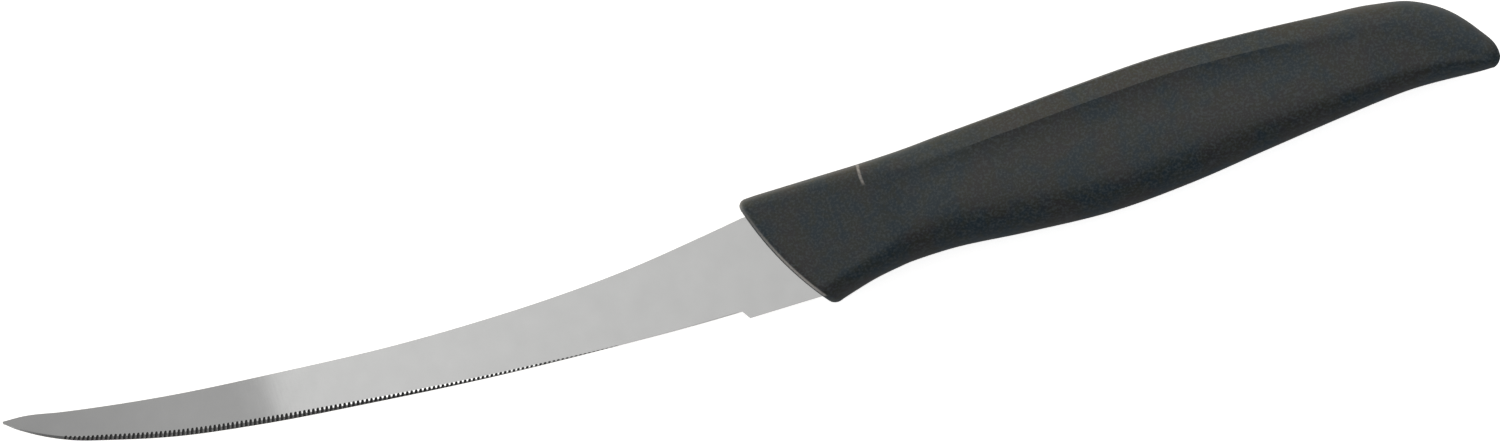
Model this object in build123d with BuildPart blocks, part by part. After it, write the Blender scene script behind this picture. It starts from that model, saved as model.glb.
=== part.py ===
from build123d import *
import os

# A tomato knife: an upswept, micro-serrated steel blade with its tang moulded into a plastic handle.
# It lies on its side. X runs from the tip to the butt, Y from the edge to the spine, and Z up from the table.
# X and Y are zero on the handle's own axis, in the middle of the flat cheek behind its front.

# Blade sizes, in millimetres
blade_length = 119.5  # from the handle's foremost point to the tip
blade_height = 15.34  # from the heel's lower edge to the spine at the handle
blade_thickness = 1.2  # at the spine, where the blade leaves the handle
heel_thickness = 0.55  # of the ground blank at the heel's lower edge
tip_thickness = 0.6  # of the ground blank at the tip
heel_length = 3.2  # lower edge of the heel ahead of the handle's foremost point
heel_step = 1.13  # how far the heel stands below the cutting edge
heel_step_run = 0.9  # how far the step slopes along the blade

# The cutting edge, ground on the upper side only
edge_land = 0.08  # what the bevel leaves of the blank's thickness
bevel_width = 0.5
bevel_setback = 1.2  # where the bevel begins behind the tip and ends ahead of the heel
groove_pitch = 0.71
groove_floor = 0.3
groove_mouth = 0.5
groove_length = 1.04  # of the longest groove, across the blade
groove_run_out = 0.03  # how far a groove's floor passes below the edge
groove_lean = 0.17  # how far a groove's top stands towards the heel, over its length
first_groove_share = 0.0745  # behind the tip, over the edge's length
last_groove_share = 0.825

# The tang inside the handle, measured back from the handle's foremost point
tang_length = 83.0
tang_end_height = 7.0
tang_rise = 1.0  # how far the middle of the tang's end stands above the handle's axis
upper_shoulder = 8.0
upper_step = 2.2  # from the spine down to the tang
lower_shoulder = 11.5
lower_step = 4.5  # from the heel up to the tang
shoulder_corner = 0.8
tang_end_corner = 2.5
peg_diameter = 4.5
peg_count = 3
first_peg_share = 0.30  # from the handle's front to the first peg, over the tang's length
peg_pitch_share = 0.265
moulding_gap = 0.03  # between the steel and the plastic moulded round it

# Handle sizes
handle_length = 120.5
handle_height = 20.8
handle_thickness = 13.4
front_lead = 11.95  # the handle's foremost point stands this far ahead of the middle of its cheek
front_radius = 41.65  # the front bulges towards the blade
front_centre_rise = 17.6  # centre of that curve above the axis
front_rounding = 1.3  # of the front's edges along both cheeks
front_sweep = 60  # degrees of the front's circle that the rounding covers
front_top_corner = 1.6
front_foot_corner = 1.0
front_foot_margin = 0.2  # from the underside down to the line that the lower corner is rounded against
bevel_height = 3.1  # of the band between the handle's top and its crease
top_crown = 0.4
panel_hollow = 0.9  # pull of the hollow below the crease
crease_inset = 0.5  # how far the crease stands inside the widest line
shoulder_height = 6.8  # of the rounded underside

overrun = 5.0  # how far a cutting shape passes what it cuts

# Places that follow from the sizes
axis_level = handle_thickness / 2
front_x = -front_lead
heel_share = 0.4356  # heel's lower edge below the axis, over the handle's height
heel_y = -heel_share * handle_height
root_y = heel_y + blade_height

# Outlines of the blade from the tip to the handle: shares of its length and of its height
tip_shares = (1.0, 1.206)
spine_shares = (
    (0.974, 1.206),
    (0.922, 1.133),
    (0.790, 0.982),
    (0.635, 0.868),
    (0.478, 0.788),
    (0.373, 0.777),
    (0.269, 0.789),
    (0.165, 0.837),
    (0.060, 0.935),
    (0.0, 1.0),
)
edge_shares = (
    (0.974, 1.040),
    (0.922, 0.839),
    (0.869, 0.715),
    (0.791, 0.561),
    (0.687, 0.432),
    (0.530, 0.301),
    (0.373, 0.196),
    (0.216, 0.129),
)

# How the bevel and the grooves swell and fade along the edge, from the tip, 0, to the heel's step, 1
fade_place_shares = (0.0, 0.075, 0.28, 0.53, 0.70, 0.84, 1.0)
bevel_fade_shares = (0.04, 0.5, 1.0, 0.8, 0.34, 0.16, 0.04)
groove_fade_shares = (0.75, 0.75, 1.0, 0.84, 0.48, 0.12, 0.12)
bevel_stations = 12

# Ribs of the handle, from ahead of its front to its butt. A rib stands on its foot on the underside and reaches
# to its top. Columns: top and foot along the handle and above its axis, as shares of the handle's length and
# height, then half width, top rounding, crease and underside, as shares of the sizes named above.
front_top_share = 0.436
front_rib_shares = (
    (-0.030, front_top_share, 0.066, -0.553, 1.006, 0.65, 0.05, 0.60),
    (0.045, front_top_share, 0.108, -0.480, 1.006, 0.65, 0.05, 0.60),
    (0.108, front_top_share, 0.145, -0.425, 1.006, 0.65, 0.05, 0.60),
    (0.166, front_top_share, 0.176, -0.396, 1.0, 0.75, 0.1, 0.70),
    (0.214, 0.442, 0.195, -0.383, 0.935, 0.90, 0.6, 0.85),
)
grip_rib_shares = (
    (0.269, 0.461, 0.249, -0.377, 0.97, 1.0, 1.0, 1.0),
    (0.356, 0.489, 0.348, -0.425, 1.0, 1.0, 1.0, 1.0),
    (0.459, 0.524, 0.459, -0.464, 1.008, 1.0, 1.0, 1.0),
    (0.581, 0.551, 0.572, -0.431, 1.008, 1.0, 1.0, 1.0),
    (0.693, 0.527, 0.672, -0.364, 0.99, 1.0, 1.0, 0.85),
    (0.796, 0.485, 0.771, -0.299, 0.95, 1.1, 0.5, 0.70),
    (0.863, 0.452, 0.838, -0.259, 0.93, 1.3, 0.1, 0.60),
)
butt_rib_shares = (
    (0.912, 0.389, 0.878, -0.244, 0.91, 1.6, 0.05, 0.55),
    (0.952, 0.251, 0.911, -0.246, 0.88, 1.75, 0.05, 0.50),
    (0.981, 0.058, 0.944, -0.256, 0.82, 1.3, 0.05, 0.40),
    (0.9995, -0.139, 0.981, -0.265, 0.66, 0.5, 0.05, 0.20),
)
butt_end_shares = ((1.0, -0.170, 0.987, -0.262, 0.60, 0.4, 0.05, 0.16),)
bevel_slope_share = 0.85  # the bevel band's width over its height
bevel_flat_share = 0.8  # how flat the band is where the crease is full
panel_pull_shares = (0.35, 0.4)  # reach of the panel's curve from its upper and lower end
panel_foot_share = 0.988  # width just above the underside over the widest: a crease too faint to feel
curved_limit_share = 0.95  # most of a rib's height that its rounding and its underside may take up
underside_pull_share = 4 / 3  # reach of the curve round the underside, over its height: near to half an ellipse


def blade_point(along_share, rise_share):
    """Place of a point of the blade's outline."""
    return (front_x - along_share * blade_length, heel_y + rise_share * blade_height)


tip_point = blade_point(*tip_shares)
front_corner_fall = front_centre_rise - front_top_share * handle_height
front_centre_x = front_x + (front_radius**2 - front_corner_fall**2) ** 0.5
root_point = (front_x, root_y)
heel_point = (front_x, heel_y)
step_foot = (front_x - heel_length, heel_y)
step_top = (front_x - heel_length - heel_step_run, heel_y + heel_step)
tang_end = front_x + tang_length
peg_shares = [first_peg_share + index * peg_pitch_share for index in range(peg_count)]
peg_places = [(front_x + share * tang_length, tang_rise / 2) for share in peg_shares]

# Each side of the blank is ground to the plane through the spine at the handle, the heel and the tip
root_corner = Vector(*root_point, blade_thickness / 2)
heel_corner = Vector(*heel_point, heel_thickness / 2)
tip_corner = Vector(*tip_point, tip_thickness / 2)
grind_normal = (tip_corner - root_corner).cross(heel_corner - root_corner).normalized()


def grind_plane(side, margin=0):
    """Plane of a ground side, 1 for the upper and -1 for the lower, with a margin of metal left on."""
    origin = Vector(*root_point, axis_level + side * blade_thickness / 2)
    normal = Vector(grind_normal.X, grind_normal.Y, side * grind_normal.Z)
    return Plane(origin=origin, z_dir=normal).offset(margin)


def ground_half(point):
    """Half the blank's thickness at a place on the blade."""
    reach = Vector(point.X, point.Y) - Vector(*root_point)
    return root_corner.Z - grind_normal.dot(reach) / grind_normal.Z


def faded(value_shares, place):
    """Share of a size at a place along the edge."""
    index = 1
    while place > fade_place_shares[index]:
        index += 1
    start, end = fade_place_shares[index - 1 : index + 1]
    low, high = value_shares[index - 1 : index + 1]
    return low + (high - low) * (place - start) / (end - start)


# The root and the tang, as stamped
with BuildSketch() as tang:
    with BuildLine():
        Polyline(
            root_point,
            (front_x + upper_shoulder, root_y),
            (front_x + upper_shoulder, root_y - upper_step),
            (tang_end, tang_rise + tang_end_height / 2),
            (tang_end, tang_rise - tang_end_height / 2),
            (front_x + lower_shoulder, heel_y + lower_step),
            (front_x + lower_shoulder, heel_y),
            heel_point,
            close=True,
        )
    make_face()
    corners = tang.vertices().group_by(Axis.X)
    fillet(corners[1] + corners[2], radius=shoulder_corner)
    fillet(tang.vertices().group_by(Axis.X)[-1], radius=tang_end_corner)


def edge_frame(distance):
    """Place on the cutting edge at a distance behind the tip, with the directions along the edge and inwards."""
    share = 1 - distance / edge_line.length
    along = -(edge_line % share)
    return edge_line @ share, along, Vector(-along.Y, along.X)


def rib_point(along_share, rise_share):
    """Place of a rib's foot or top, halfway through the handle's thickness."""
    return Vector(front_x + along_share * handle_length, rise_share * handle_height, axis_level)


with BuildPart() as blade:
    with BuildSketch(Plane.XY.offset(axis_level)):
        with BuildLine():
            Spline(tip_point, *[blade_point(*shares) for shares in spine_shares])
            Polyline(root_point, heel_point, step_foot, step_top)
            edge_line = Spline(step_top, *[blade_point(*shares) for shares in reversed(edge_shares)], tip_point)
        make_face()
        add(tang.sketch)
        with Locations(*peg_places):
            Circle(peg_diameter / 2, mode=Mode.SUBTRACT)
    extrude(amount=blade_thickness / 2, both=True)
    for side in (1, -1):
        split(bisect_by=grind_plane(side), keep=Keep.BOTTOM)

    # The bevel: a cutting wedge lofted along the edge, its floor rising inwards from the edge's land
    bevel_reach = edge_line.length - 2 * bevel_setback
    for station in range(bevel_stations + 1):
        distance = bevel_setback + bevel_reach * station / bevel_stations
        place, along, inward = edge_frame(distance)
        width = bevel_width * faded(bevel_fade_shares, distance / edge_line.length)
        half = ground_half(place)
        rise = 2 * half - edge_land
        with BuildSketch(Plane(origin=(place.X, place.Y, axis_level), x_dir=inward, z_dir=along)):
            Polygon(
                (-width, edge_land - half - rise),
                (2 * width, edge_land - half + 2 * rise),
                (-width, edge_land - half + 2 * rise),
                align=None,
            )
    loft(mode=Mode.SUBTRACT)

    # The grooves: each has a flat floor that rises from just below the edge to the blade's upper side
    groove_planes = []
    groove_span = (last_groove_share - first_groove_share) * edge_line.length
    for index in range(int(groove_span / groove_pitch) + 1):
        distance = first_groove_share * edge_line.length + index * groove_pitch
        place, along, inward = edge_frame(distance)
        length = groove_length * faded(groove_fade_shares, distance / edge_line.length)
        half = ground_half(place)
        floor_start = Vector(place.X, place.Y, axis_level - half - groove_run_out)
        floor_run = (inward + along * groove_lean) * length + Vector(0, 0, 2 * half + groove_run_out)
        groove_planes.append(
            Plane(origin=floor_start - floor_run, x_dir=Vector(0, 0, 1).cross(floor_run), z_dir=floor_run)
        )
    with BuildSketch(*groove_planes):
        Polygon(
            (-groove_floor / 2, 0),
            (groove_floor / 2, 0),
            (groove_mouth / 2, blade_thickness / 2),
            (-groove_mouth / 2, blade_thickness / 2),
            align=None,
        )
    extrude(amount=3 * groove_length, mode=Mode.SUBTRACT)

# The cavity that the steel fills, and round which the pegs stay
with BuildPart() as cavity:
    with BuildSketch(Plane.XY.offset(axis_level)):
        add(tang.sketch)
        offset(amount=moulding_gap)
        with Locations(*peg_places):
            Circle(peg_diameter / 2 - moulding_gap, mode=Mode.SUBTRACT)
    extrude(amount=blade_thickness / 2 + moulding_gap, both=True)
    for side in (1, -1):
        split(bisect_by=grind_plane(side, moulding_gap), keep=Keep.BOTTOM)

# The front of the handle seen from its cheek, with the corners at its crest and underside rounded
first_foot, second_foot = [rib_point(*rib[2:4]) - Vector(0, front_foot_margin) for rib in front_rib_shares[:2]]
front_top = front_top_share * handle_height
with BuildSketch() as front_outline:
    with Locations((front_centre_x, front_centre_rise)):
        Circle(front_radius)
    Polygon(
        (front_x - overrun, front_top),
        (front_x - overrun, first_foot.Y),
        (first_foot.X, first_foot.Y),
        (second_foot.X, second_foot.Y),
        (second_foot.X, front_top),
        align=None,
        mode=Mode.INTERSECT,
    )
    upper_corner, lower_corner = front_outline.vertices().sort_by(Axis.X)[:2]
    fillet(upper_corner, radius=front_top_corner)
    fillet(lower_corner, radius=front_foot_corner)

with BuildPart() as handle:
    rib_groups = (
        front_rib_shares,
        front_rib_shares[-1:] + grip_rib_shares,
        grip_rib_shares[-1:] + butt_rib_shares,
        butt_rib_shares[-1:] + butt_end_shares,
    )
    for rib_group in rib_groups:
        for rib in rib_group:
            top_x, top_y, foot_x, foot_y, width_share, rounding_share, crease_share, underside_share = rib
            foot = rib_point(foot_x, foot_y)
            top = rib_point(top_x, top_y)
            height = (top - foot).length
            half_width = width_share * handle_thickness / 2
            curved = rounding_share * bevel_height + underside_share * shoulder_height
            room_share = min(1, curved_limit_share * height / curved)
            rounding = room_share * rounding_share * bevel_height
            underside = room_share * underside_share * shoulder_height
            land = half_width - bevel_slope_share * rounding
            land_height = height - top_crown * land / half_width
            crest_slope = 2 * top_crown / half_width
            crease_width = half_width - crease_share * crease_inset
            panel = height - rounding - underside
            upper_pull, lower_pull = [share * panel for share in panel_pull_shares]
            flatness = crease_share * bevel_flat_share / 2
            bend_width = crease_width - flatness * (crease_width - land)
            bend_height = land_height - crest_slope * (bend_width - land) - flatness * rounding
            hollow_width = crease_width - crease_share * panel_hollow
            up = (top - foot).normalized()
            with BuildSketch(Plane(origin=foot, x_dir=up, z_dir=up.cross(Vector(0, 0, 1)))):
                with BuildLine():
                    ThreePointArc((land_height, land), (height, 0), (land_height, -land))
                    for side in (-1, 1):
                        band_top = (land_height, side * land)
                        crease = (height - rounding, side * crease_width)
                        Bezier(band_top, (bend_height, side * bend_width), crease)
                        Bezier(
                            crease,
                            (height - rounding - upper_pull, side * hollow_width),
                            (underside + lower_pull, side * panel_foot_share * half_width),
                            (underside, side * half_width),
                        )
                    Bezier(
                        (underside, half_width),
                        (underside - underside_pull_share * underside, half_width),
                        (underside - underside_pull_share * underside, -half_width),
                        (underside, -half_width),
                    )
                make_face()
        loft()

    # The flats of the mould's two halves, on which the knife lies
    with BuildSketch(Plane.XY):
        Rectangle(3 * handle_length, 3 * handle_height)
    extrude(amount=handle_thickness, mode=Mode.INTERSECT)

    # The front, which bulges towards the blade
    with BuildSketch(Plane.XY.offset(-overrun)):
        with Locations((front_x, 0)):
            Rectangle(2 * (second_foot.X - front_x), 2 * handle_height)
        add(front_outline.sketch, mode=Mode.SUBTRACT)
    extrude(amount=handle_thickness + 2 * overrun, mode=Mode.SUBTRACT)

    # The front's edges along both cheeks, turned about the middle of its curve
    with BuildSketch(Plane.XZ.offset(-front_centre_rise)):
        for cheek, inward in ((0, 1), (handle_thickness, -1)):
            with Locations((front_centre_x - front_radius + front_rounding, cheek + inward * front_rounding)):
                Rectangle(
                    front_rounding + overrun,
                    front_rounding + overrun,
                    align=(Align.MAX, Align.MAX if inward > 0 else Align.MIN),
                )
                Circle(front_rounding, mode=Mode.SUBTRACT)
    revolve(axis=Axis((front_centre_x, front_centre_rise, 0), (0, 0, 1)), revolution_arc=front_sweep, mode=Mode.SUBTRACT)

    add(cavity.part, mode=Mode.SUBTRACT)

handle.part.label = "handle"
blade.part.label = "blade"

os.makedirs("parts", exist_ok=True)
export_step(blade.part, "parts/blade.step")
export_step(handle.part, "parts/handle.step")
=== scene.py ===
import math

import bmesh
import bpy
import numpy as np
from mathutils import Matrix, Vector


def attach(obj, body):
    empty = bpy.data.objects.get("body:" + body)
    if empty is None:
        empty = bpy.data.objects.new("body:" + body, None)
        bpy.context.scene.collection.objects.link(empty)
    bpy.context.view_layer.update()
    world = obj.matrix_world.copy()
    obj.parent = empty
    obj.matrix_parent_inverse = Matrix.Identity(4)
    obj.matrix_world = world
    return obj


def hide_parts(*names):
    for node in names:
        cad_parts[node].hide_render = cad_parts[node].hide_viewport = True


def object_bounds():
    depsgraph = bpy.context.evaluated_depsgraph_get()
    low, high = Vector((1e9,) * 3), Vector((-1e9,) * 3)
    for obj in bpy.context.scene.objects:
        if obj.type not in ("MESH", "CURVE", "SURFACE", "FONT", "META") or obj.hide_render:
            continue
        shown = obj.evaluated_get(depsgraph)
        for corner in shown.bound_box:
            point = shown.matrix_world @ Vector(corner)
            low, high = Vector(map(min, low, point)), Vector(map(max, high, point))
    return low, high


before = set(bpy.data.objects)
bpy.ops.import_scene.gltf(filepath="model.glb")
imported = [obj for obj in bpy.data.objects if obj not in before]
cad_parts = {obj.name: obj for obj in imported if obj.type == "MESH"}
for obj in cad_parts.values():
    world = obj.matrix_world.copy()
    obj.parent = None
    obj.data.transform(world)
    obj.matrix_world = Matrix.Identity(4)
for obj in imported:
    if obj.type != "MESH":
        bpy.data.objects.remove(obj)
cad_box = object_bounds()

MM = 0.001

# Handle sizes in millimetres
handle_length = 120.5
handle_height = 20.8
handle_thickness = 13.4
front_lead = 11.95  # the front stands this far ahead of the middle of its cheek
front_radius = 50.0  # the front bulges towards the blade
front_centre_rise = 21.33  # centre of that curve above the axis
front_reach = 0.16  # how far that curve passes ahead of the front's upper corner
front_rounding = 1.3  # of the front's edges along both cheeks
front_top_corner = 1.7
front_foot_corner = 1.0
bevel_height = 3.1  # of the band between the handle's top and its crease
top_crown = 0.4
panel_hollow = 0.9  # pull of the hollow below the crease
crease_inset = 0.5  # how far the crease stands inside the widest line
shoulder_height = 6.8
butt_bulge = 0.35  # the butt's end is slightly domed
axis_level = handle_thickness / 2
front_x = -front_lead

# Blade sizes in millimetres
blade_length = 119.5
blade_height = 15.34
blade_thickness = 1.2
heel_thickness = 0.55
tip_thickness = 0.6
heel_length = 3.2  # lower edge of the heel ahead of the handle
heel_step = 1.33  # how far the heel stands below the cutting edge
heel_step_run = 0.9  # how far the step slopes along the blade
edge_land = 0.08  # what the bevel leaves of the blank's thickness
edge_strip = 1.5  # strip along the edge in which the grooves are cut
strip_run_in = 6.0  # distance from either end over which that strip widens
bevel_width = 0.66
bevel_setback = 1.2  # distance from either end over which the bevel widens
relief_degrees = 8.0  # slope of the teeth's tops behind the bevel
groove_pitch = 0.71
groove_width = 0.48
groove_length = 1.04  # of the longest groove, across the blade
groove_run_out = 0.02  # how far a groove's floor passes below the edge
groove_lean = 0.17  # how far a groove's top stands towards the heel, over its length
first_groove_share = 0.084  # behind the tip, over the edge's length
last_groove_share = 0.825
tang_length = 83.0
tang_height = 7.0
tang_shoulder = 11.5
heel_share = 0.4356  # heel's lower edge below the axis, over the handle's height
heel_y = -heel_share * handle_height

# Outlines of the blade from the tip to the handle: shares of its length and of its height
spine_shares = (
    (1.0, 1.218),
    (0.974, 1.211),
    (0.922, 1.136),
    (0.790, 0.985),
    (0.635, 0.876),
    (0.478, 0.794),
    (0.373, 0.778),
    (0.269, 0.789),
    (0.165, 0.837),
    (0.060, 0.935),
    (0.0, 1.0),
)
edge_shares = (
    (1.0, 1.190),
    (0.99, 1.122),
    (0.974, 1.038),
    (0.922, 0.835),
    (0.869, 0.711),
    (0.791, 0.561),
    (0.687, 0.432),
    (0.530, 0.301),
    (0.373, 0.196),
    (0.216, 0.129),
    (0.105, 0.095),
)
tip_shares = (1.0, 1.206)  # where the steel has its thickness at the tip

# How the bevel and the grooves swell and fade along the edge, from the tip, 0, to the heel's step, 1
fade_place_shares = (0.0, 0.075, 0.2, 0.32, 0.53, 0.70, 0.84, 1.0)
bevel_fade_shares = (0.35, 0.75, 1.0, 0.97, 0.56, 0.22, 0.05, 0.14)
groove_fade_shares = (0.36, 0.58, 0.94, 0.97, 0.64, 0.40, 0.12, 0.1)
relief_fade_shares = (0.32, 0.38)  # of the grooves' length, where the relief begins and is full

# Ribs of the handle: top and foot, along the handle and above its axis, then half width, top rounding,
# crease and underside
front_top_share = 0.436
rib_shares = (
    (-0.030, front_top_share, 0.066, -0.553, 1.006, 0.65, 0.05, 0.60),
    (0.045, front_top_share, 0.108, -0.480, 1.006, 0.65, 0.05, 0.60),
    (0.108, front_top_share, 0.145, -0.425, 1.006, 0.65, 0.05, 0.60),
    (0.166, front_top_share, 0.176, -0.396, 1.0, 0.75, 0.1, 0.70),
    (0.214, 0.442, 0.195, -0.383, 0.935, 0.90, 0.3, 0.85),
    (0.269, 0.461, 0.249, -0.377, 0.97, 1.0, 0.6, 1.0),
    (0.356, 0.489, 0.348, -0.425, 1.0, 1.0, 0.9, 1.0),
    (0.459, 0.524, 0.459, -0.464, 1.008, 1.0, 1.0, 1.0),
    (0.581, 0.551, 0.572, -0.431, 1.008, 1.0, 1.0, 1.0),
    (0.693, 0.527, 0.672, -0.364, 0.99, 1.0, 1.0, 0.85),
    (0.796, 0.485, 0.771, -0.299, 0.95, 1.1, 0.5, 0.70),
    (0.863, 0.452, 0.838, -0.259, 0.93, 1.3, 0.1, 0.60),
    (0.912, 0.389, 0.878, -0.244, 0.91, 1.6, 0.05, 0.55),
    (0.952, 0.251, 0.911, -0.246, 0.88, 1.75, 0.05, 0.50),
    (0.981, 0.058, 0.944, -0.256, 0.82, 1.3, 0.05, 0.40),
    (0.9985, -0.139, 0.981, -0.266, 0.66, 0.5, 0.05, 0.20),
    (0.9988, -0.170, 0.987, -0.266, 0.60, 0.4, 0.05, 0.16),
)
front_ribs = 4  # the front's cut and rounding end at this rib
bevel_slope_share = 0.85  # the bevel band's width over its height
bevel_flat_share = 0.8  # how flat the band is where the crease is full
panel_pull_shares = (0.35, 0.4)  # reach of the panel's curve from its upper and lower end
panel_foot_share = 0.988  # width just above the underside over the widest: a crease too faint to feel
underside_pull_share = 4 / 3

# How finely the pieces are drawn
edge_steps = 160
spine_steps = 90
cutter_sides = 14
crest_steps = 10
bevel_steps = 8
panel_steps = 14
underside_steps = 30
steps_between_ribs = 10
rounding_steps = 6
dome_steps = 5
dome_degrees = 80  # how far round the butt's dome is drawn
search_steps = 400  # along the ribs, where the front cuts them
smooth_degrees = 35  # sharper edges of the handle stay sharp
merge_distance = 1e-7  # points nearer than this, in metres, are one

# A groove's cutter: its length and its middle's place over its slant across the blade
cutter_length_share = 3.0
cutter_middle_share = 0.75
slant_limit = 0.98  # the bevel's faces stand less upright than this, the relief's more

# Marks on the handle in millimetres, most of them from where they begin to where they end
scuff_turn = (7.5, 7.3)  # where the scuff's bow turns back, along the handle and above its axis
scuff_bow = 0.06
scuff_edge = (0.08, 0.34)
scuff_foot = (5.4, 6.3)
# The rim's pale line is a painted highlight, where the front's rounded edge catches the light
rim_start = (0.12, 0.22)  # behind the front's foremost line
rim_end = (0.36, 0.6)
rim_fading = (-4.0, 9.0)
rim_foot = (-9.2, -8.8)
rim_reach = (5.0, 6.0)
upper_side = (8.0, 9.0)  # above the table: the marks are on the side that is seen
parting_edge = (0.03, 0.09)  # off the handle's middle plane
parting_rise = 0.03

# Relief of the plastic's grain and of the steel's grinding lines, in millimetres
grain_depth = 0.012
line_depth = 0.01

# Patterns of the finishes, each as repeats in a millimetre
grain_count = 2.7
patch_count = 0.65
cloud_count = 0.13
line_counts = (4.0, 0.32, 0.32)
blotch_count = 0.26
wheel_mark_count = 9.0

# The stage in metres: a floor wide enough for every view, and a card that lights the knife from above
floor_width = 6.0
card_height = 0.25
card_left = -0.1216
card_width = 1.4
card_near = -0.055
card_depth = 0.7
card_brightness = 0.372

# The camera, in millimetres and degrees: how wide the photograph is at the knife's axis, and its middle
lens = 100.0
sensor = 36.0
frame_width = 234.1
frame_middle = (-10.75, 5.55)
photo_turn = -17
nearest = 10.0  # what the camera sees begins at this distance


def linear(hex_colour):
    """Colour for a shader from its sRGB hex value."""
    colour = []
    for place in (1, 3, 5):
        value = int(hex_colour[place : place + 2], 16) / 255
        colour.append(value / 12.92 if value <= 0.04045 else ((value + 0.055) / 1.055) ** 2.4)
    return colour + [1.0]


def add_node(tree, kind, settings=None, inputs=None):
    """Adds a node, sets its properties and sockets, and links those that are given a node or an output."""
    node = tree.nodes.new(kind)
    for name, value in (settings or {}).items():
        setattr(node, name, value)
    for name, value in (inputs or {}).items():
        if isinstance(value, bpy.types.Node):
            value = next(output for output in value.outputs if output.enabled)
        if isinstance(value, bpy.types.NodeSocket):
            tree.links.new(value, node.inputs[name])
        else:
            node.inputs[name].default_value = value
    return node


def curve_points(controls, steps):
    """Points along a Bezier curve, its end left out."""
    points = []
    for step in range(steps):
        place = step / steps
        layer = [Vector(control) for control in controls]
        while len(layer) > 1:
            layer = [start.lerp(end, place) for start, end in zip(layer, layer[1:])]
        points.append(layer[0])
    return points


def rib_points(shares):
    """Points round one rib: over the crest, down the upper side, round the underside and up the lower side."""
    top_x, top_y, foot_x, foot_y, width_share, rounding_share, crease_share, underside_share = shares
    foot = Vector((front_x + foot_x * handle_length, foot_y * handle_height))
    top = Vector((front_x + top_x * handle_length, top_y * handle_height))
    height = (top - foot).length
    half_width = width_share * handle_thickness / 2
    rounding = rounding_share * bevel_height
    underside = underside_share * shoulder_height
    land = half_width - bevel_slope_share * rounding
    land_height = height - top_crown * land / half_width
    crest_slope = 2 * top_crown / half_width
    crease_width = half_width - crease_share * crease_inset
    panel = height - rounding - underside
    upper_pull, lower_pull = [share * panel for share in panel_pull_shares]
    flatness = crease_share * bevel_flat_share / 2
    bend_width = crease_width - flatness * (crease_width - land)
    bend_height = land_height - crest_slope * (bend_width - land) - flatness * rounding
    hollow_width = crease_width - crease_share * panel_hollow
    bevel = [(land_height, land), (bend_height, bend_width), (height - rounding, crease_width)]
    side = [
        (height - rounding, crease_width),
        (height - rounding - upper_pull, hollow_width),
        (underside + lower_pull, panel_foot_share * half_width),
        (underside, half_width),
    ]
    mirrored = [[(rise, -width) for rise, width in curve] for curve in (bevel, side)]
    crest = [(land_height, -land), (2 * height - land_height, 0), (land_height, land)]
    belly_rise = underside - underside_pull_share * underside
    belly = [(underside, half_width), (belly_rise, half_width)]
    belly += [(rise, -width) for rise, width in belly[::-1]]
    around = curve_points(crest, crest_steps)
    around += curve_points(bevel, bevel_steps)
    around += curve_points(side, panel_steps)
    around += curve_points(belly, underside_steps)
    around += curve_points(mirrored[1][::-1], panel_steps)
    around += curve_points(mirrored[0][::-1], bevel_steps)
    up = (top - foot).normalized()
    return [(foot.x + rise * up.x, foot.y + rise * up.y, axis_level + width) for rise, width in around]


def along_ribs(ribs, places):
    """Points of every lengthwise line of the skin at its own places between the ribs, on a smooth curve."""
    middles = ribs.mean(axis=1)
    knots = np.concatenate([[0.0], np.cumsum(np.linalg.norm(np.diff(middles, axis=0), axis=1))])
    slopes = np.diff(ribs, axis=0) / np.diff(knots)[:, None, None]
    before, after = np.diff(knots)[:-1, None, None], np.diff(knots)[1:, None, None]
    inner = (slopes[:-1] * after + slopes[1:] * before) / (before + after)
    tangents = np.concatenate([slopes[:1], inner, slopes[-1:]])
    index = np.clip(np.floor(places).astype(int), 0, len(ribs) - 2)
    share = (places - index)[..., None]
    column = np.arange(ribs.shape[1])[None, :]
    length = np.diff(knots)[index][..., None]
    start, end = ribs[index, column], ribs[index + 1, column]
    leave, arrive = tangents[index, column] * length, tangents[index + 1, column] * length
    return (
        start * (1 + 2 * share) * (1 - share) ** 2
        + leave * share * (1 - share) ** 2
        + end * share**2 * (3 - 2 * share)
        - arrive * share**2 * (1 - share)
    )


def front_centre():
    """Centre of the circle on which the front bulges towards the blade."""
    corner_fall = front_centre_rise - front_top_share * handle_height
    return (front_x - front_reach + math.sqrt(front_radius**2 - corner_fall**2), front_centre_rise)


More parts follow.
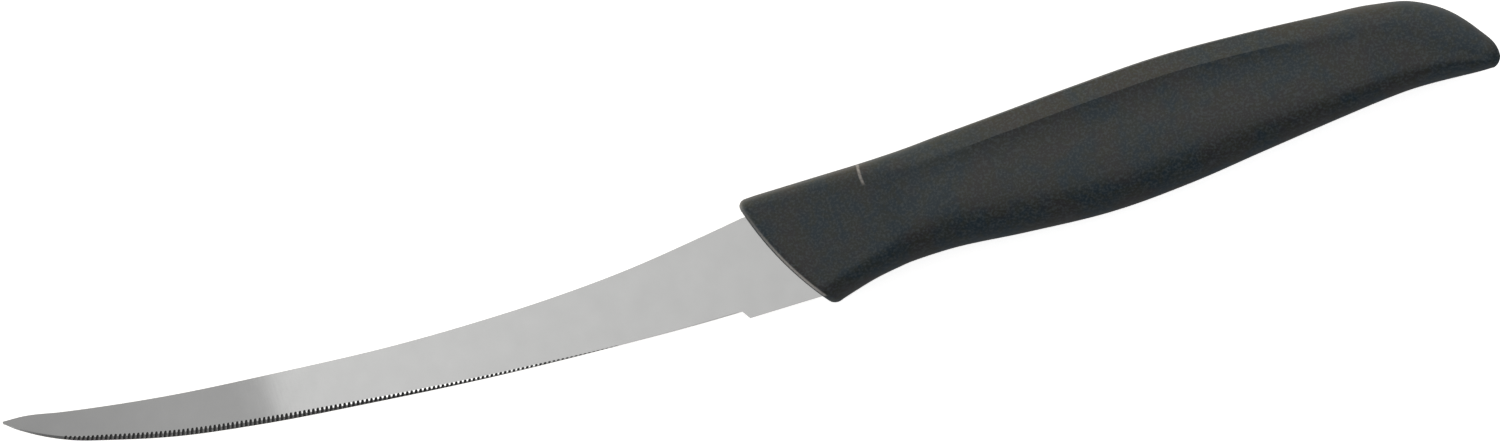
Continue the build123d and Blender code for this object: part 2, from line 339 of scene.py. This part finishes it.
def handle_skin():
    """The handle's surface as rings of points, from its front round to its butt."""
    ribs = np.array([rib_points(shares) for shares in rib_shares])
    count = ribs.shape[1]
    centre = np.array(front_centre())

    # Where each lengthwise line leaves the front's circle
    search = np.linspace(0, front_ribs - 1, search_steps)
    lines = along_ribs(ribs, np.repeat(search[:, None], count, axis=1))
    beyond = np.linalg.norm(lines[..., :2] - centre, axis=2) > front_radius
    last = beyond.shape[0] - 1 - np.argmax(beyond[::-1], axis=0)
    front_place = search[last]

    rings = []
    reach = np.linalg.norm(lines[-1] - lines[last, np.arange(count)], axis=1)
    rise = ribs[0, :, 1]
    rises = (rise.min(), -shoulder_height, shoulder_height, rise.max())
    corner = np.interp(rise, rises, (front_foot_corner, front_rounding, front_rounding, front_top_corner))
    turns = np.linspace(0, math.pi / 2, rounding_steps + 1)
    depth_shares = [1 - math.cos(turn) for turn in turns]
    behind = (front_ribs - 1 - front_place) / reach
    places = [front_place + share * corner * behind for share in depth_shares]
    insets = [corner * (1 - math.sqrt(1 - (1 - share) ** 2)) for share in depth_shares]
    body_steps = steps_between_ribs * 2
    start = places[rounding_steps]
    for step in range(1, body_steps + 1):
        places.append(start + step / body_steps * (front_ribs - 1 - start))
        insets.append(np.zeros(count))
    for step in range(1, steps_between_ribs * (len(ribs) - front_ribs) + 1):
        places.append(np.full(count, front_ribs - 1 + step / steps_between_ribs))
        insets.append(np.zeros(count))
    places = np.array(places)
    points = along_ribs(ribs, places)

    # Inwards in the plane of the ring, for the rounding
    around = np.roll(points, -1, axis=1) - np.roll(points, 1, axis=1)
    lengthwise = np.gradient(points, axis=0)
    outward = np.cross(lengthwise, around)
    outward /= np.linalg.norm(outward, axis=2)[..., None] + 1e-12
    middle = points.mean(axis=1)[:, None, :]
    flip = np.sign(((points - middle) * outward).sum(axis=2).mean())
    points = points - flip * outward * np.array(insets)[..., None]

    # Every ring of the rounding lies at its own depth behind the front's circle
    for ring, share in enumerate(depth_shares):
        from_centre = points[ring, :, :2] - centre
        radius = front_radius - share * corner
        points[ring, :, :2] = centre + from_centre * (radius / np.linalg.norm(from_centre, axis=1))[:, None]
    points[..., 2] = np.clip(points[..., 2], 0, handle_thickness)

    # The butt's end as a low dome on the last ring
    middle = points[-1].mean(axis=0)
    top, foot = points[-1, crest_steps // 2], points[-1, (count + crest_steps) // 2]
    aft = np.array([top[1] - foot[1], foot[0] - top[0], 0]) / np.linalg.norm((top - foot)[:2])
    turns = np.radians(dome_degrees) * np.arange(1, dome_steps + 1) / dome_steps
    spread, lift = points[-1] - middle, aft * butt_bulge
    dome = [middle + spread * math.cos(turn) + lift * math.sin(turn) for turn in turns]
    return np.minimum(np.concatenate([points, dome]) * MM, cad_box[1])


def mesh_object(name, vertices, faces):
    """A new piece from vertices and faces, in the part's own frame."""
    mesh = bpy.data.meshes.new(name)
    mesh.from_pydata([tuple(vertex) for vertex in vertices], [], faces)
    mesh.validate()
    piece = bpy.data.objects.new(name, mesh)
    bpy.context.scene.collection.objects.link(piece)
    return piece


def outward_normals(piece):
    """Turns the faces outwards and shades all but the sharp edges smooth."""
    work = bmesh.new()
    work.from_mesh(piece.data)
    bmesh.ops.remove_doubles(work, verts=work.verts, dist=merge_distance)
    bmesh.ops.recalc_face_normals(work, faces=work.faces)
    limit = math.radians(smooth_degrees)
    for edge in work.edges:
        edge.smooth = len(edge.link_faces) == 2 and edge.calc_face_angle() < limit
    for face in work.faces:
        face.smooth = True
    work.to_mesh(piece.data)
    work.free()


def smooth_line(points, steps):
    """Points on a smooth line through the given ones."""
    rows = np.array(points)[:, None, :]
    places = np.linspace(0, len(points) - 1, steps + 1)[:, None]
    return along_ribs(rows, places)[:, 0, :]


def blade_point(along_share, rise_share):
    """Place of a point of the blade's outline."""
    return (front_x - along_share * blade_length, heel_y + rise_share * blade_height)


def half_thickness(places):
    """Half the blade's thickness at places on it, each side being ground to a plane."""
    corners = (blade_point(0.0, 1.0), blade_point(0.0, 0.0), blade_point(*tip_shares))
    halves = np.array([blade_thickness, heel_thickness, tip_thickness]) / 2
    plane = np.linalg.solve([(*corner, 1.0) for corner in corners], halves)
    return np.asarray(places) @ plane[:2] + plane[2]


def cutting_edge():
    """Places along the cutting edge from the tip, their distances from it, and the directions inwards."""
    step_top = (front_x - heel_length - heel_step_run, heel_y + heel_step)
    knots = [blade_point(*shares) for shares in edge_shares] + [step_top]
    places = smooth_line(knots, edge_steps)
    along = np.gradient(places, axis=0)
    inward = np.stack([-along[:, 1], along[:, 0]], axis=1) / np.linalg.norm(along, axis=1)[:, None]
    gaps = np.linalg.norm(np.diff(places, axis=0), axis=1)
    distances = np.concatenate([[0.0], np.cumsum(gaps)])
    return places, distances, inward


def ground_blank():
    """The blade and its tang with the bevel and the relief ground, before the grooves are cut."""
    edge, distances, inward = cutting_edge()
    shares = distances / distances[-1]
    from_ends = np.minimum(distances, distances[-1] - distances)
    bevel = bevel_width * np.interp(shares, fade_place_shares, bevel_fade_shares)
    bevel *= np.clip(from_ends / bevel_setback, 0, 1)
    groove_fade = np.interp(shares, fade_place_shares, groove_fade_shares)
    fullness = np.interp(groove_fade, relief_fade_shares, (0, 1)) * (shares > first_groove_share)
    longer = np.maximum(groove_length * groove_fade - bevel, 0)
    relief = bevel + longer * np.clip(from_ends / edge_strip, 0, 1)
    strip = relief + (edge_strip - relief) * np.clip(from_ends / strip_run_in, 0, 1)
    drop = (relief - bevel) * np.tan(np.radians(relief_degrees * fullness))
    shoulder_x, tang_x = front_x + tang_shoulder, front_x + tang_length
    heel = [(front_x - heel_length, heel_y), (front_x, heel_y), (shoulder_x, heel_y)]
    tang = [(shoulder_x, -tang_height / 2), (tang_x, -tang_height / 2), (tang_x, tang_height / 2)]
    shoulder = [(shoulder_x, tang_height / 2), (shoulder_x, blade_point(0.0, 1.0)[1])]
    spine = smooth_line([blade_point(*shares) for shares in spine_shares[::-1]], spine_steps)
    rest = np.array([*heel, *tang, *shoulder, *spine])

    def level(places, side, rise=0.0):
        return np.column_stack([places, axis_level + side * half_thickness(places) + rise])

    rows = (
        level(edge, -1),
        level(edge, -1, edge_land),
        level(edge + inward * bevel[:, None], 1, -drop),
        level(edge + inward * relief[:, None], 1),
        level(edge + inward * strip[:, None], 1),
        level(rest, -1),
        level(rest, 1),
    )
    work = bmesh.new()
    lower, land, bevel_top, relief_top, strip_top, rest_lower, rest_upper = [
        [work.verts.new(place * MM) for place in row] for row in rows
    ]
    bands = (lower, land, bevel_top, relief_top, strip_top)
    for outer, inner in zip(bands, bands[1:]):
        for place in range(len(outer) - 1):
            work.faces.new((outer[place], outer[place + 1], inner[place + 1], inner[place]))
    for place in range(len(rest) - 1):
        beside = place + 1
        work.faces.new((rest_lower[place], rest_lower[beside], rest_upper[beside], rest_upper[place]))
    work.faces.new((lower[-1], rest_lower[0], rest_upper[0], strip_top[-1], land[-1]))
    work.faces.new((rest_lower[-1], lower[0], land[0], strip_top[0], rest_upper[-1]))
    work.faces.new(strip_top + rest_upper)
    work.faces.new((lower + rest_lower)[::-1])
    bmesh.ops.remove_doubles(work, verts=work.verts, dist=merge_distance)
    bmesh.ops.recalc_face_normals(work, faces=work.faces)
    mesh = bpy.data.meshes.new("ground_blank")
    work.to_mesh(mesh)
    work.free()
    blank = bpy.data.objects.new("ground_blank", mesh)
    bpy.context.scene.collection.objects.link(blank)
    return blank


def edge_path():
    """The cutting edge's lower line as a curve, from the tip to the heel's step."""
    edge = cutting_edge()[0]
    heights = axis_level - half_thickness(edge)
    curve = bpy.data.curves.new("edge_path", "CURVE")
    curve.dimensions = "3D"
    line = curve.splines.new("POLY")
    line.points.add(len(edge) - 1)
    for point, place, height in zip(line.points, edge, heights):
        point.co = (*(place * MM), height * MM, 1.0)
    path = bpy.data.objects.new("edge_path", curve)
    bpy.context.scene.collection.objects.link(path)
    return path


def groove_tree():
    """Geometry nodes that cut round grooves across the upper side, one pitch apart along a path."""
    tree = bpy.data.node_groups.new("serrations", "GeometryNodeTree")
    tree.interface.new_socket("Blade", in_out="OUTPUT", socket_type="NodeSocketGeometry")
    tree.interface.new_socket("Blank", in_out="INPUT", socket_type="NodeSocketGeometry")
    tree.interface.new_socket("Edge path", in_out="INPUT", socket_type="NodeSocketObject")
    for name in ("Polished", "Rough", "Grooved"):
        tree.interface.new_socket(name, in_out="INPUT", socket_type="NodeSocketMaterial")
    row_sizes = ("Pitch", "First share", "Last share", "Axis level", "Rough reach")
    for name in ("Width", "Length", "Run out", "Lean", *row_sizes):
        tree.interface.new_socket(name, in_out="INPUT", socket_type="NodeSocketFloat")
    given = add_node(tree, "NodeGroupInput").outputs
    product, quotient, difference = [{"operation": name} for name in ("MULTIPLY", "DIVIDE", "SUBTRACT")]
    below = {"operation": "LESS_THAN"}

    # Places one pitch apart, the grooves' swelling and fading along them, and the blade's thickness there
    info = add_node(tree, "GeometryNodeObjectInfo", None, {"Object": given["Edge path"]})
    path = info.outputs["Geometry"]
    ends = {"Curve": path, 2: given["First share"], 3: given["Last share"]}
    toothed = add_node(tree, "GeometryNodeTrimCurve", None, ends)
    steps = {"Curve": toothed, "Length": given["Pitch"]}
    spaced = add_node(tree, "GeometryNodeResampleCurve", {"mode": "LENGTH"}, steps)
    along = add_node(tree, "GeometryNodeSplineParameter").outputs["Factor"]
    whole_edge = {"Value": along, "To Min": given["First share"], "To Max": given["Last share"]}
    share = add_node(tree, "ShaderNodeMapRange", None, whole_edge)
    fade = add_node(tree, "ShaderNodeFloatCurve", None, {"Value": share})
    line = fade.mapping.curves[0]
    line.points[0].location = (fade_place_shares[0], groove_fade_shares[0])
    line.points[1].location = (fade_place_shares[-1], groove_fade_shares[-1])
    for place, value in list(zip(fade_place_shares, groove_fade_shares))[1:-1]:
        line.points.new(place, value)
    fade.mapping.update()
    place = add_node(tree, "GeometryNodeInputPosition")
    height = add_node(tree, "ShaderNodeSeparateXYZ", None, {"Vector": place}).outputs["Z"]
    half = add_node(tree, "ShaderNodeMath", difference, {0: given["Axis level"], 1: height})
    thickness = add_node(tree, "ShaderNodeMath", product, {0: half, 1: 2.0})

    # A round cutter that slopes up across a blade as thick as the cutter's own unit, one millimetre
    multiply_add = {"operation": "MULTIPLY_ADD"}
    slope = add_node(tree, "ShaderNodeMath", quotient, {0: given["Length"], 1: MM})
    slope_square = add_node(tree, "ShaderNodeMath", multiply_add, {0: slope, 1: slope, 2: 1.0})
    stretch = add_node(tree, "ShaderNodeMath", {"operation": "SQRT"}, {0: slope_square})
    radius = add_node(tree, "ShaderNodeMath", quotient, {0: given["Width"], 1: 2.0})
    reach = add_node(tree, "ShaderNodeMath", product, {0: radius, 1: stretch})
    start = add_node(tree, "ShaderNodeMath", difference, {0: given["Run out"], 1: reach})
    length = add_node(tree, "ShaderNodeMath", product, {0: stretch, 1: cutter_length_share * MM})
    sideways = add_node(tree, "ShaderNodeMath", product, {0: given["Length"], 1: given["Lean"]})
    round_bar = {"Vertices": cutter_sides, "Radius": radius, "Depth": length}
    bar = add_node(tree, "GeometryNodeMeshCylinder", None, round_bar)
    slant = add_node(tree, "ShaderNodeCombineXYZ", None, {"X": sideways, "Y": given["Length"], "Z": MM})
    turn = add_node(tree, "FunctionNodeAlignRotationToVector", {"axis": "Z"}, {"Vector": slant})
    foot = add_node(tree, "ShaderNodeCombineXYZ", None, {"Y": start})
    halfway = {0: slant, 1: (cutter_middle_share,) * 3, 2: foot}
    middle = add_node(tree, "ShaderNodeVectorMath", multiply_add, halfway)
    cutter = add_node(
        tree,
        "GeometryNodeTransform",
        None,
        {"Geometry": bar.outputs["Mesh"], "Translation": middle, "Rotation": turn},
    )
    finish = {"Geometry": cutter, "Material": given["Grooved"]}
    cutter = add_node(tree, "GeometryNodeSetMaterial", None, finish)
    tangent = add_node(tree, "GeometryNodeInputTangent")
    along_edge = {"axis": "X", "pivot_axis": "Z"}
    facing = add_node(tree, "FunctionNodeAlignRotationToVector", along_edge, {"Vector": tangent})
    depth = add_node(tree, "ShaderNodeMath", quotient, {0: thickness, 1: MM})
    size = add_node(tree, "ShaderNodeCombineXYZ", None, {"X": 1.0, "Y": fade, "Z": depth})
    row = add_node(
        tree,
        "GeometryNodeInstanceOnPoints",
        None,
        {"Points": spaced, "Instance": cutter, "Rotation": facing, "Scale": size},
    )
    cutters = add_node(tree, "GeometryNodeRealizeInstances", None, {"Geometry": row})
    cut = add_node(
        tree,
        "GeometryNodeMeshBoolean",
        {"operation": "DIFFERENCE", "solver": "EXACT"},
        {"Mesh 1": given["Blank"], "Mesh 2": cutters},
    )

    # The cutters leave the darker steel in the grooves, its colour painted shade, and the slanting faces near
    # the edge stay rough
    in_groove = add_node(tree, "GeometryNodeMaterialSelection", None, {"Material": given["Grooved"]})
    elsewhere = add_node(tree, "FunctionNodeBooleanMath", {"operation": "NOT"}, {0: in_groove})
    edge_line = add_node(tree, "GeometryNodeCurveToMesh", None, {"Curve": path})
    off_edge = add_node(tree, "GeometryNodeProximity", {"target_element": "EDGES"}, {"Geometry": edge_line})
    near_edge = add_node(
        tree, "ShaderNodeMath", below, {0: off_edge.outputs["Distance"], 1: given["Rough reach"]}
    )
    normal = add_node(tree, "GeometryNodeInputNormal")
    upright = add_node(tree, "ShaderNodeSeparateXYZ", None, {"Vector": normal}).outputs["Z"]
    flatness = add_node(tree, "ShaderNodeMath", {"operation": "ABSOLUTE"}, {0: upright})
    slanting = add_node(tree, "ShaderNodeMath", below, {0: flatness, 1: slant_limit})
    rough = add_node(tree, "ShaderNodeMath", product, {0: near_edge, 1: slanting})
    rough = add_node(tree, "ShaderNodeMath", product, {0: rough, 1: elsewhere})
    whole = add_node(tree, "GeometryNodeRealizeInstances", None, {"Geometry": cut.outputs["Mesh"]})
    polished = add_node(
        tree,
        "GeometryNodeSetMaterial",
        None,
        {"Geometry": whole, "Selection": elsewhere, "Material": given["Polished"]},
    )
    finished = add_node(
        tree,
        "GeometryNodeSetMaterial",
        None,
        {"Geometry": polished, "Selection": rough, "Material": given["Rough"]},
    )
    add_node(tree, "NodeGroupOutput", None, {"Blade": finished})
    return tree


def serrated_blade(polished, rough, grooved):
    """The finished blade: the blank with its grooves cut, as a plain mesh."""
    blank, path = ground_blank(), edge_path()
    modifier = blank.modifiers.new("serrations", "NODES")
    modifier.node_group = groove_tree()
    values = {
        "Edge path": path,
        "Polished": polished,
        "Rough": rough,
        "Grooved": grooved,
        "Pitch": groove_pitch * MM,
        "Width": groove_width * MM,
        "Length": groove_length * MM,
        "Run out": groove_run_out * MM,
        "Lean": groove_lean,
        "First share": first_groove_share,
        "Last share": last_groove_share,
        "Axis level": axis_level * MM,
        "Rough reach": edge_strip * MM,
    }
    for socket in modifier.node_group.interface.items_tree:
        if socket.in_out == "INPUT" and socket.name in values:
            modifier[socket.identifier] = values[socket.name]
    view = bpy.context.evaluated_depsgraph_get()
    cut = blank.evaluated_get(view)
    mesh = bpy.data.meshes.new_from_object(cut, preserve_all_data_layers=True, depsgraph=view)
    piece = bpy.data.objects.new("serrated_blade", mesh)
    bpy.context.scene.collection.objects.link(piece)
    for helper in (blank, path):
        bpy.data.objects.remove(helper)
    return piece


def moulded_handle():
    """The handle, its skin closed by a ladder of faces across the front and across the butt."""
    rings = handle_skin()
    ring_count, count = rings.shape[:2]
    faces = []
    for ring in range(ring_count - 1):
        for place in range(count):
            beside = (place + 1) % count
            here, there = ring * count, (ring + 1) * count
            faces.append((here + place, here + beside, there + beside, there + place))
    for ring in (0, ring_count - 1):
        base = ring * count
        # Point crest_steps / 2 is on the crest's middle line, and pairs across it stand at the same height
        crest_middle = crest_steps // 2
        for step in range(count // 2):
            left = [(crest_middle - step) % count, (crest_middle - step - 1) % count]
            right = [(crest_middle + step) % count, (crest_middle + step + 1) % count]
            corners = [base + left[0], base + left[1], base + right[1], base + right[0]]
            faces.append(tuple(dict.fromkeys(corners)))
    piece = mesh_object("moulded_handle", rings.reshape(-1, 3), faces)
    outward_normals(piece)
    return piece


def polypropylene():
    """Black polypropylene, moulded in a lightly spark-eroded tool: a dull sheen over a fine grain."""
    material = bpy.data.materials.new("black_moulded_polypropylene")
    material.use_nodes = True
    tree = material.node_tree
    shader = tree.nodes["Principled BSDF"]
    place = add_node(tree, "ShaderNodeTexCoord").outputs["Object"]
    across = add_node(tree, "ShaderNodeSeparateXYZ", None, {"Vector": place}).outputs
    soft = {"interpolation_type": "SMOOTHSTEP"}
    colours = {"data_type": "RGBA"}
    product, difference, distance = [{"operation": name} for name in ("MULTIPLY", "SUBTRACT", "ABSOLUTE")]
    multiply_add = {"operation": "MULTIPLY_ADD"}

    # Grain, coarser than the real one so that it shows, over patches and clouds
    patterns = []
    for count in (grain_count, patch_count, cloud_count):
        noise = {"Vector": place, "Scale": count / MM, "Detail": 2.0}
        patterns.append(add_node(tree, "ShaderNodeTexNoise", None, noise).outputs["Fac"])
    grain, patches, clouds = patterns
    tone = linear("#0e232e")
    for pattern, low, high, amount, colour in (
        (clouds, 0.42, 0.58, 0.9, "#252325"),
        (patches, 0.42, 0.62, 0.6, "#23271e"),
        (grain, 0.42, 0.7, 0.65, "#40484c"),
    ):
        limits = {"Value": pattern, "From Min": low, "From Max": high, "To Max": amount}
        share = add_node(tree, "ShaderNodeMapRange", soft, limits)
        tone = add_node(tree, "ShaderNodeMix", colours, {"Factor": share, "A": tone, "B": linear(colour)})

    # A pale scuff, 0.4 mm wide and slightly bowed, from the crest down into the cheek behind the front
    turn_x, turn_y = [value * MM for value in scuff_turn]
    off_turn = add_node(tree, "ShaderNodeMath", difference, {0: across["Y"], 1: turn_y})
    square = add_node(tree, "ShaderNodeMath", {"operation": "POWER"}, {0: off_turn, 1: 2.0})
    bow = add_node(tree, "ShaderNodeMath", multiply_add, {0: square, 1: scuff_bow / MM, 2: turn_x})
    off_bow = add_node(tree, "ShaderNodeMath", difference, {0: across["X"], 1: bow})
    aside = add_node(tree, "ShaderNodeMath", distance, {0: off_bow})

    # The front's rim where the blade enters, with a painted highlight: a pale line behind its foremost line
    # where its edge catches the light, most of all low down
    in_plan = add_node(tree, "ShaderNodeCombineXYZ", None, {"X": across["X"], "Y": across["Y"]})
    centre = (*[value * MM for value in front_centre()], 0.0)
    from_centre = add_node(tree, "ShaderNodeVectorMath", {"operation": "DISTANCE"}, {0: in_plan, 1: centre})
    off_centre = from_centre.outputs["Value"]
    behind = add_node(tree, "ShaderNodeMath", difference, {0: front_radius * MM, 1: off_centre})

    # Each mark by its limits, with its strength at both, and broken up by the grain
    scuff = (
        (aside, scuff_edge, 1.0, 0.0),
        (across["Y"], scuff_foot, 0.0, 1.0),
        (across["Z"], upper_side, 0.0, 1.0),
    )
    # Painted highlight: a pale line where the front's edge catches the light
    rim_highlight = (
        (behind, rim_start, 0.0, 1.0),
        (behind, rim_end, 1.0, 0.0),
        (across["Y"], rim_fading, 1.0, 0.1),
        (across["Y"], rim_foot, 0.0, 1.0),
        (across["X"], rim_reach, 1.0, 0.0),
        (across["Z"], upper_side, 0.0, 1.0),
    )
    scuff_and_highlight = []
    for mark, grain_limits in ((scuff, (0.3, 0.6, 0.5, 1.0)), (rim_highlight, (0.3, 0.5, 0.7, 1.0))):
        limits = [(value, low * MM, high * MM, start, end) for value, (low, high), start, end in mark]
        amount = 1.0
        for value, low, high, start, end in (*limits, (grain, *grain_limits)):
            sockets = {"Value": value, "From Min": low, "From Max": high, "To Min": start, "To Max": end}
            share = add_node(tree, "ShaderNodeMapRange", soft, sockets)
            amount = add_node(tree, "ShaderNodeMath", product, {0: amount, 1: share})
        scuff_and_highlight.append(amount)
    # The pale colour stands for the real scuff and for the painted highlight on the front's rim
    scuff_and_highlight_share = add_node(tree, "ShaderNodeMath", {"operation": "MAXIMUM"}, {0: scuff_and_highlight[0], 1: scuff_and_highlight[1]})
    marked = add_node(tree, "ShaderNodeMix", colours, {"Factor": scuff_and_highlight_share, "A": tone, "B": linear("#8c8a88")})

    # The mould's parting line, a ridge 0.12 mm wide halfway through the handle's thickness
    off_axis = add_node(tree, "ShaderNodeMath", difference, {0: across["Z"], 1: axis_level * MM})
    off_middle = add_node(tree, "ShaderNodeMath", distance, {0: off_axis})
    near, far = [edge * MM for edge in parting_edge]
    rise = parting_rise * MM
    sides = {"Value": off_middle, "From Min": near, "From Max": far, "To Min": rise, "To Max": 0.0}
    ridge = add_node(tree, "ShaderNodeMapRange", soft, sides)
    height = add_node(tree, "ShaderNodeMath", multiply_add, {0: grain, 1: grain_depth * MM, 2: ridge})
    bump = add_node(tree, "ShaderNodeBump", None, {"Height": height, "Strength": 0.8, "Distance": 1.0})
    dull = {"Value": grain, "From Min": 0.25, "From Max": 0.75, "To Min": 0.38, "To Max": 0.58}
    dullness = add_node(tree, "ShaderNodeMapRange", soft, dull)
    tree.links.new(marked.outputs["Result"], shader.inputs["Base Color"])
    tree.links.new(dullness.outputs["Result"], shader.inputs["Roughness"])
    tree.links.new(bump.outputs["Normal"], shader.inputs["Normal"])
    shader.inputs["IOR"].default_value = 1.49
    return material


def polished_steel():
    """Stainless steel strip, ground across its width and polished: a soft mirror with faint cross lines."""
    material = bpy.data.materials.new("polished_stainless_steel")
    material.use_nodes = True
    tree = material.node_tree
    shader = tree.nodes["Principled BSDF"]
    place = add_node(tree, "ShaderNodeTexCoord").outputs["Object"]
    # Grinding lines, drawn out twelve times across the blade, over blotches
    line_scale = [count / MM for count in line_counts]
    drawn_out = add_node(tree, "ShaderNodeMapping", None, {"Vector": place, "Scale": line_scale})
    line_noise = {"Vector": drawn_out, "Scale": 1.0, "Detail": 2.0}
    lines = add_node(tree, "ShaderNodeTexNoise", None, line_noise)
    blotch_noise = {"Vector": place, "Scale": blotch_count / MM, "Detail": 3.0}
    blotches = add_node(tree, "ShaderNodeTexNoise", None, blotch_noise)
    tone = add_node(
        tree,
        "ShaderNodeMix",
        {"data_type": "RGBA"},
        {"Factor": blotches.outputs["Fac"], "A": linear("#d2d2d1"), "B": linear("#dcdcdb")},
    )
    dull = {"Value": lines.outputs["Fac"], "To Min": 0.05, "To Max": 0.11}
    dullness = add_node(tree, "ShaderNodeMapRange", None, dull)
    relief = {"Height": lines.outputs["Fac"], "Strength": 0.03, "Distance": line_depth * MM}
    bump = add_node(tree, "ShaderNodeBump", None, relief)
    shader.inputs["Metallic"].default_value = 1.0
    tree.links.new(tone.outputs["Result"], shader.inputs["Base Color"])
    tree.links.new(dullness.outputs["Result"], shader.inputs["Roughness"])
    tree.links.new(bump.outputs["Normal"], shader.inputs["Normal"])
    return material


def rough_steel(name, dark, light):
    """The same steel as the grinding wheel left it: dull; the darker copy for the grooves has painted shade in
    its colour.
    """
    material = bpy.data.materials.new(name)
    material.use_nodes = True
    tree = material.node_tree
    shader = tree.nodes["Principled BSDF"]
    place = add_node(tree, "ShaderNodeTexCoord").outputs["Object"]
    wheel_noise = {"Vector": place, "Scale": wheel_mark_count / MM, "Detail": 2.0}
    marks = add_node(tree, "ShaderNodeTexNoise", None, wheel_noise)
    tone = add_node(
        tree,
        "ShaderNodeMix",
        {"data_type": "RGBA"},
        {"Factor": marks.outputs["Fac"], "A": linear(dark), "B": linear(light)},
    )
    dull = {"Value": marks.outputs["Fac"], "To Min": 0.25, "To Max": 0.45}
    dullness = add_node(tree, "ShaderNodeMapRange", None, dull)
    shader.inputs["Metallic"].default_value = 1.0
    tree.links.new(tone.outputs["Result"], shader.inputs["Base Color"])
    tree.links.new(dullness.outputs["Result"], shader.inputs["Roughness"])
    return material


def plain_floor():
    """A pale floor, lit softly from below as a light table is, and wide enough for every view."""
    half = floor_width / 2
    corners = [(-half, -half, 0), (half, -half, 0), (half, half, 0), (-half, half, 0)]
    floor = mesh_object("floor", corners, [(0, 1, 2, 3)])
    material = bpy.data.materials.new("pale_floor")
    material.use_nodes = True
    shader = material.node_tree.nodes["Principled BSDF"]
    shader.inputs["Base Color"].default_value = linear("#f4f4f4")
    shader.inputs["Roughness"].default_value = 0.9
    shader.inputs["Specular IOR Level"].default_value = 0.0
    shader.inputs["Emission Color"].default_value = linear("#ffffff")
    shader.inputs["Emission Strength"].default_value = 0.75
    floor.data.materials.append(material)
    floor.visible_glossy = False


def card(name, place, target, size, brightness):
    """A soft rectangular light that faces its target, as bright all over as a lit sheet of paper."""
    light = bpy.data.lights.new(name, "AREA")
    light.shape = "RECTANGLE"
    light.size, light.size_y = size
    light.energy = brightness * math.pi * size[0] * size[1]
    holder = bpy.data.objects.new(name, light)
    holder.location = place
    holder.rotation_euler = (Vector(target) - Vector(place)).to_track_quat("-Z", "Y").to_euler()
    holder.visible_camera = False
    bpy.context.scene.collection.objects.link(holder)


def studio():
    """A grey room, brighter on the spine's side and at the left, with a soft card low over the knife."""
    world = bpy.data.worlds.new("grey_room")
    bpy.context.scene.world = world
    world.use_nodes = True
    tree = world.node_tree
    background = tree.nodes["Background"]
    direction = add_node(tree, "ShaderNodeTexCoord").outputs["Generated"]

    # Brightness of each part of the room by direction: an aim, the cosines to it between which it changes,
    # and its strength at both. The lamp strip stands behind the edge: only the teeth's relief reflects it.
    glows = {
        "spine_side": ((-0.35, 0.94, 0.0), -0.325, 0.95, 0.15, 1.0),
        "left_side": ((-0.95, 0.1, -0.3), 0.55, 1.0, 0.0, 1.6),
        "left_half": ((-1.0, 0.0, 0.0), 0.0, 0.13, 0.0, 0.12),
        "strip_start": ((0.0, 1.0, 0.0), -0.42, -0.36, 0.0, 1.0),
        "strip_end": ((0.0, 1.0, 0.0), -0.26, -0.2, 2.5, 0.0),
        "strip_left": ((1.0, 0.0, 0.0), -0.165, -0.115, 0.12, 1.0),
        "strip_right": ((1.0, 0.0, 0.0), -0.13, -0.075, 1.0, 0.28),
        "tip_shade": ((-1.0, 0.0, 0.0), 0.15, 0.19, 0.0, -0.12),
        "overhead": ((0.0, 0.0, 1.0), 0.5, 0.7, 0.0, 1.0),
        "warm_side": ((-0.35, 0.94, 0.0), 0.1, 0.7, 0.0, 1.0),
    }
    dot_product = {"operation": "DOT_PRODUCT"}
    for name, (aim, low, high, dark, light) in glows.items():
        cosine = add_node(tree, "ShaderNodeVectorMath", dot_product, {0: direction, 1: aim})
        facing = cosine.outputs["Value"]
        limits = {"Value": facing, "From Min": low, "From Max": high, "To Min": dark, "To Max": light}
        glows[name] = add_node(tree, "ShaderNodeMapRange", None, limits)
    product, total = {"operation": "MULTIPLY"}, {"operation": "ADD"}
    strip = glows["strip_start"]
    for name in ("strip_end", "strip_left", "strip_right", "overhead"):
        strip = add_node(tree, "ShaderNodeMath", product, {0: strip, 1: glows[name]})
    strength = glows["spine_side"]
    for glow in (glows["left_side"], glows["left_half"], glows["tip_shade"], strip):
        strength = add_node(tree, "ShaderNodeMath", total, {0: strength, 1: glow})
    tones = {"Factor": glows["warm_side"], "A": linear("#ffffff"), "B": linear("#fff4df")}
    warmth = add_node(tree, "ShaderNodeMix", {"data_type": "RGBA"}, tones)
    tree.links.new(warmth.outputs["Result"], background.inputs["Color"])
    tree.links.new(strength.outputs["Value"], background.inputs["Strength"])
    middle = (card_left + card_width / 2, card_near + card_depth / 2)
    size = (card_width, card_depth)
    card("overhead_card", (*middle, card_height), (*middle, 0), size, card_brightness)
    bpy.context.scene.view_settings.view_transform = "Standard"


def photo_camera():
    """Looks straight down on the knife, turned as in the photograph."""
    camera = bpy.data.cameras.new("camera")
    camera.lens = lens
    camera.sensor_width = sensor
    camera.clip_start = nearest * MM
    holder = bpy.data.objects.new("camera", camera)
    height = axis_level + frame_width * lens / sensor
    holder.location = Vector((*frame_middle, height)) * MM
    holder.rotation_euler = (0, 0, math.radians(photo_turn))
    bpy.context.scene.collection.objects.link(holder)
    bpy.context.scene.camera = holder


photo_camera()
plain_floor()
studio()

handle = moulded_handle()
handle.data.materials.append(polypropylene())
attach(handle, "root")
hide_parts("handle")

bevel_steel = rough_steel("rough_ground_stainless_steel", "#b4b4b4", "#d2d2d2")
# The grooves' darker copy of the steel is painted shade in the grooves
groove_shade_steel = rough_steel("groove_shaded_stainless_steel", "#484848", "#6c6c6c")
blade = serrated_blade(polished_steel(), bevel_steel, groove_shade_steel)
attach(blade, "root")
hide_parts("blade")
